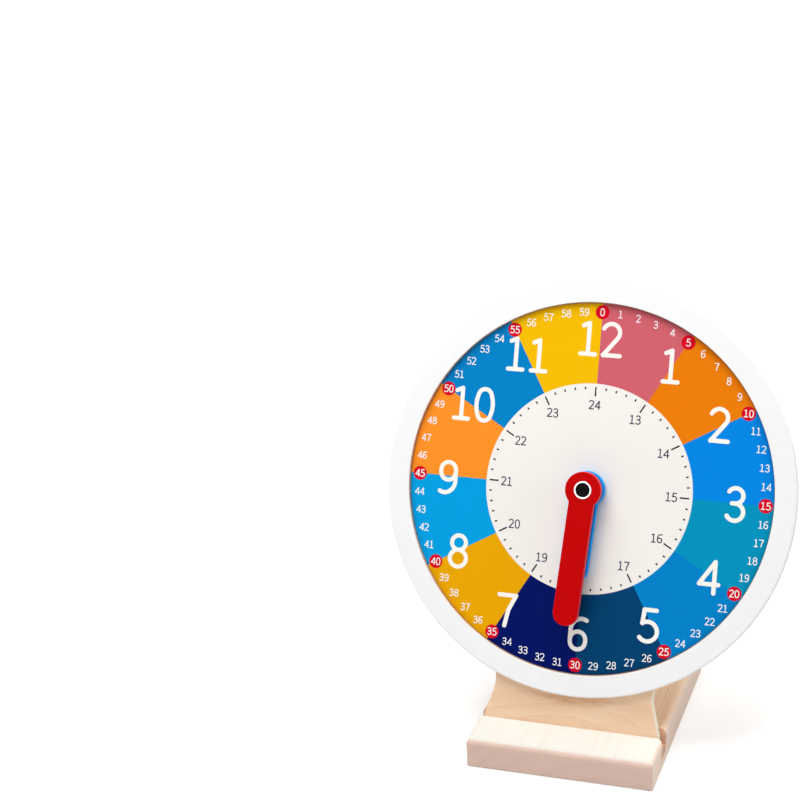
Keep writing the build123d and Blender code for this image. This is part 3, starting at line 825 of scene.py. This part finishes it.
class CLOCK_OT_inner_numbers(Operator):
    """Prints 13 to 24, the hour ticks and the short dashes on the cream centre"""

    bl_idname = "teaching_clock.inner_numbers"
    bl_label = "Inner numbers and ticks"

    def execute(self, context):
        dial = context.scene.clock_dial
        ink = dial.ink / MM
        slate = printed_ink("ink_slate", dial.slate_colour)
        page = bmesh.new()
        size = dial.inner_height / MM, dial.inner_stroke / MM
        for hour in HOURS:
            x, y = round_the_dial(dial.inner_circle / MM, hour / 12)
            write_number(page, str(hour + 12), x, y, *size, INNER_ARC)
        print_on_dial(page, "inner_numbers", slate, 0.0, ink)
        page = bmesh.new()
        for minute in range(60):
            on_hour = minute % 5 == 0
            reach = (dial.tick_outer - dial.tick_inner) / MM if on_hour else dial.dash_length / MM
            middle = dial.tick_outer / MM - reach / 2
            place = Matrix.Rotation(-2 * pi * minute / 60, 4, "Z") @ Matrix.Translation((0, middle, 0))
            form = Matrix.Diagonal((dial.tick_width / MM, reach, 1.0, 1.0))
            bmesh.ops.create_grid(page, x_segments=1, y_segments=1, size=0.5, matrix=place @ form)
        print_on_dial(page, "hour_ticks", printed_ink("ink_tick", dial.tick_colour), 0.0, ink)
        return {"FINISHED"}


class CLOCK_OT_hands(Operator):
    """Lacquers the two hands"""

    bl_idname = "teaching_clock.hands"
    bl_label = "Hands"

    def execute(self, context):
        colours = context.scene.clock_finishes
        cover(lacquer("minute_red_lacquer", colours.minute_red, colours.minute_side), "minute_hand")
        cover(lacquer("hour_blue_lacquer", colours.hour_blue, colours.hour_side), "hour_hand")
        return {"FINISHED"}


class CLOCK_OT_metal_parts(Operator):
    """Gives the bushes, arbors, post, pillars, screws and clip their metal"""

    bl_idname = "teaching_clock.metal_parts"
    bl_label = "Metal parts"

    def execute(self, context):
        colours = context.scene.clock_finishes
        nickel = turned_metal("nickel_plate", colours.nickel, 0.12, 0.26)
        brass = turned_metal("turned_brass", colours.brass, 0.2, 0.36)
        steel = turned_metal("spring_steel", colours.spring_steel, 0.3, 0.45)
        cover(nickel, "dial_bush", "bush_nut", "idler_post", "plate_screws", "hub_ferrule", "center_arbor",
              "knob_screw")
        cover(brass, "movement_pillars", "rear_bush", "hour_tube")
        cover(steel, "idler_clip")
        return {"FINISHED"}


class CLOCK_OT_plastic_parts(Operator):
    """Gives the gears, knob, plug, washer and spacer their plastic"""

    bl_idname = "teaching_clock.plastic_parts"
    bl_label = "Plastic parts"

    def execute(self, context):
        colours = context.scene.clock_finishes
        cover(moulded("red_plastic", colours.gear_red, 0.24, 0.4), "cannon_pinion", "setting_knob")
        cover(moulded("blue_plastic", colours.gear_blue, 0.24, 0.4), "hour_wheel")
        cover(moulded("yellow_plastic", colours.gear_yellow, 0.24, 0.4), "compound_gear")
        black = moulded("black_plastic", colours.black_plastic, 0.4, 0.55, shine=0.06)
        cover(black, "hub_cap", "friction_washer")
        cover(moulded("white_plastic", colours.white_plastic, 0.3, 0.45), "hand_spacer")
        return {"FINISHED"}


class CLOCK_OT_clear_plate(Operator):
    """Gives the plate over the gears its clear acrylic"""

    bl_idname = "teaching_clock.clear_plate"
    bl_label = "Clear plate"

    def execute(self, context):
        cover(acrylic(context.scene.clock_finishes), "rear_plate")
        return {"FINISHED"}


def soft_lamp(name, watts, side, place):
    """A square area lamp that points at the clock."""
    lamp = bpy.data.lights.new(name, "AREA")
    lamp.shape = "RECTANGLE"
    lamp.size = lamp.size_y = side
    lamp.energy = watts
    holder = bpy.data.objects.new(name, lamp)
    holder.location = place
    holder.rotation_euler = (Vector(LAMP_AIM) - Vector(place)).to_track_quat("-Z", "Y").to_euler()
    bpy.context.scene.collection.objects.link(holder)


def backdrop_light(finish):
    """1 for rays from the camera, off gloss and through glass, and 0 for the light on the clock."""
    path = finish.add("ShaderNodeLightPath").socket.node
    rays = ("Is Camera Ray", "Is Glossy Ray", "Is Transmission Ray")
    camera, glossy, through = (Wire(finish, path.outputs[name]) for name in rays)
    return (camera + glossy + through).clamp()


class CLOCK_OT_stage(Operator):
    """Sets out the floor, the soft light and the camera"""

    bl_idname = "teaching_clock.stage"
    bl_label = "Floor, light and camera"

    def execute(self, context):
        stage = context.scene.clock_stage
        self.lay_floor(stage)
        self.light_room(context, stage)
        for name, (side, place) in LAMPS.items():
            soft_lamp(name + "_softbox", getattr(stage, name + "_light"), side, place)
        self.stand_camera(context, stage)
        return {"FINISHED"}

    def lay_floor(self, stage):
        page = bmesh.new()
        bmesh.ops.create_circle(page, cap_ends=True, segments=FLOOR_SIDES, radius=FLOOR_RADIUS)
        mesh = bpy.data.meshes.new("floor")
        page.to_mesh(mesh)
        page.free()
        floor = bpy.data.objects.new("floor", mesh)
        bpy.context.scene.collection.objects.link(floor)
        finish = Finish(bpy.data.materials.new("floor_pale"))
        seen = finish.add("ShaderNodeLightPath", output="Is Camera Ray")
        point = finish.here()
        x, y, _ = finish.split(point)
        far = ((off_axis(x, y) - GLOW_NEAR) / (GLOW_FAR - GLOW_NEAR)).clamp()
        grain = finish.noise(point, 0.05)
        rough = finish.shade(stage.floor_colour, grain * 0.01 + 0.99)
        matt = finish.add("ShaderNodeBsdfDiffuse", None, {"Color": rough})
        paler = finish.shade((1.0, 1.0, 1.0), far * (1.0 - FLOOR_GLOW) + FLOOR_GLOW)
        glow = finish.add("ShaderNodeEmission", None, {"Color": paler, "Strength": seen})
        both = finish.add("ShaderNodeAddShader", None, {0: matt, 1: glow})
        finish.add("ShaderNodeOutputMaterial", None, {"Surface": both})
        mesh.materials.append(finish.owner)

    def light_room(self, context, stage):
        world = bpy.data.worlds.new("room")
        context.scene.world = world
        room = Finish(world)
        seen = backdrop_light(room)
        strength = seen * (1.0 - stage.sky) + stage.sky
        glow = room.add("ShaderNodeBackground", None, {"Color": (1.0, 1.0, 1.0), "Strength": strength})
        room.add("ShaderNodeOutputWorld", None, {"Surface": glow})

    def stand_camera(self, context, stage):
        lens = bpy.data.cameras.new("camera")
        lens.lens = stage.lens
        lens.sensor_width = SENSOR_WIDTH
        camera = bpy.data.objects.new("camera", lens)
        right, up = Vector(stage.camera_right), Vector(stage.camera_up)
        turn = Matrix((right, up, right.cross(up))).transposed()
        camera.matrix_world = Matrix.Translation(DIAL_CENTRE + Vector(stage.camera_place)) @ turn.to_4x4()
        context.scene.collection.objects.link(camera)
        context.scene.camera = camera
        context.scene.view_settings.view_transform = "Standard"


STEPS = (
    CLOCK_OT_stand, CLOCK_OT_board, CLOCK_OT_ring, CLOCK_OT_dial_sectors, CLOCK_OT_hour_numbers,
    CLOCK_OT_minute_discs, CLOCK_OT_minute_numbers, CLOCK_OT_inner_numbers, CLOCK_OT_hands,
    CLOCK_OT_metal_parts, CLOCK_OT_plastic_parts, CLOCK_OT_clear_plate, CLOCK_OT_stage,
)


class CLOCK_PT_panel(Panel):
    """Lists the clock's settings and its operators in the sidebar"""

    bl_idname = "CLOCK_PT_panel"
    bl_label = "Teaching clock"
    bl_space_type = "VIEW_3D"
    bl_region_type = "UI"
    bl_category = "Teaching clock"

    def draw(self, context):
        for step in STEPS:
            self.layout.operator(step.bl_idname)
        for settings in (context.scene.clock_dial, context.scene.clock_finishes, context.scene.clock_stage):
            box = self.layout.box()
            for name in settings.__annotations__:
                box.prop(settings, name)


CLASSES = (DialPrint, Finishes, Stage, *STEPS, CLOCK_PT_panel)


def register():
    for kind in CLASSES:
        bpy.utils.register_class(kind)
    bpy.types.Scene.clock_dial = PointerProperty(type=DialPrint)
    bpy.types.Scene.clock_finishes = PointerProperty(type=Finishes)
    bpy.types.Scene.clock_stage = PointerProperty(type=Stage)


def unregister():
    del bpy.types.Scene.clock_stage
    del bpy.types.Scene.clock_finishes
    del bpy.types.Scene.clock_dial
    for kind in reversed(CLASSES):
        bpy.utils.unregister_class(kind)


def main():
    """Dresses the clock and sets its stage."""
    register()
    for step in STEPS:
        group, name = step.bl_idname.split(".")
        getattr(getattr(bpy.ops, group), name)()


if __name__ == "__main__":
    main()
